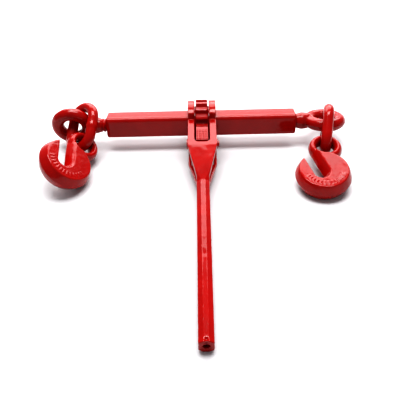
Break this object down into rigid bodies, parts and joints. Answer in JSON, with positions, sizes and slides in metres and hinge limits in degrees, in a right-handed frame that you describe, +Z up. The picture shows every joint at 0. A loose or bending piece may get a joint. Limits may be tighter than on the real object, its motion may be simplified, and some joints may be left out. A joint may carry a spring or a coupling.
{
  "type": "ratchet load binder",
  "caption": "Ratchet chain load binder: long handle with forked head, square barrel with ratchet gear, two eye screws, chain links and grab hooks.",
  "frame": {"origin": "on the table under the middle of the barrel, at the gear's lowest tooth", "axes": "+X along the barrel towards the right eye, -Y along the handle, +Z up"},
  "size_m": [0.3982, 0.3724, 0.064],
  "materials": {
    "red_paint": "gloss red enamel on forged steel",
    "plated_steel": "zinc-plated steel"
  },
  "bodies": {
    "handle": {"yoke_handle": "red_paint", "pawl_pin": "plated_steel", "pawl_pin_ring": "plated_steel", "detent_spring": "plated_steel"},
    "pawl": {"pawl": "red_paint"},
    "detent": {"detent_plunger": "plated_steel"},
    "barrel": {"barrel_tube": "red_paint", "ratchet_gear": "red_paint", "gear_key_pin": "plated_steel", "thread_insert_left": "plated_steel", "thread_insert_right": "plated_steel"},
    "screw_left": {"eye_screw_left": "red_paint", "screw_stop_left": "plated_steel", "stop_pin_left": "plated_steel"},
    "screw_right": {"eye_screw_right": "red_paint", "screw_stop_right": "plated_steel", "stop_pin_right": "plated_steel"},
    "link_left": {"end_link_left": "red_paint"},
    "link_right": {"end_link_right": "red_paint"},
    "hook_left": {"grab_hook_left": "red_paint"},
    "hook_right": {"grab_hook_right": "red_paint"}
  },
  "joints": [
    {"name": "barrel_spin", "type": "hinge", "parent": "handle", "child": "barrel", "pos_m": [0, 0, 0.0315], "axis": [1, 0, 0], "range_deg": [0, 6840]},
    {"name": "screw_left_slide", "type": "slide", "parent": "handle", "child": "screw_left", "axis": [-1, 0, 0], "range_m": [0, 0.0855]},
    {"name": "screw_right_slide", "type": "slide", "parent": "handle", "child": "screw_right", "axis": [1, 0, 0], "range_m": [0, 0.0855]},
    {"name": "pawl_pivot", "type": "hinge", "parent": "handle", "child": "pawl", "pos_m": [0, -0.04541, 0.02857], "axis": [1, 0, 0], "range_deg": [-8, 10]},
    {"name": "detent_press", "type": "slide", "parent": "handle", "child": "detent", "axis": [0, -0.9979, -0.0645], "range_m": [0, 0.002], "stiffness_N_per_m": 2000, "springref_m": -0.001, "deforming": ["detent_spring"]},
    {"name": "link_left_swing", "type": "hinge", "parent": "screw_left", "child": "link_left", "pos_m": [-0.15748, -0.00166, 0.04262], "axis": [-0.5512, -0.1233, 0.8252], "range_deg": [-5, 9]},
    {"name": "link_right_swing", "type": "hinge", "parent": "screw_right", "child": "link_right", "pos_m": [0.16695, -0.01992, 0.03592], "axis": [1, 0.0026, -0.0006], "range_deg": [-15, 15]},
    {"name": "hook_left_swing", "type": "hinge", "parent": "link_left", "child": "hook_left", "pos_m": [-0.1544, -0.02359, 0.02276], "axis": [0.7341, -0.1587, -0.6602], "range_deg": [-15, 6]},
    {"name": "hook_right_swing", "type": "hinge", "parent": "link_right", "child": "hook_right", "pos_m": [0.16022, -0.03979, 0.02531], "axis": [0.9987, -0.0477, 0.0185], "range_deg": [-8, 8]}
  ],
  "couplings": [
    {"joint": "screw_left_slide", "follows": "barrel_spin", "m_per_rad": 0.0007162},
    {"joint": "screw_right_slide", "follows": "barrel_spin", "m_per_rad": 0.0007162}
  ]
}
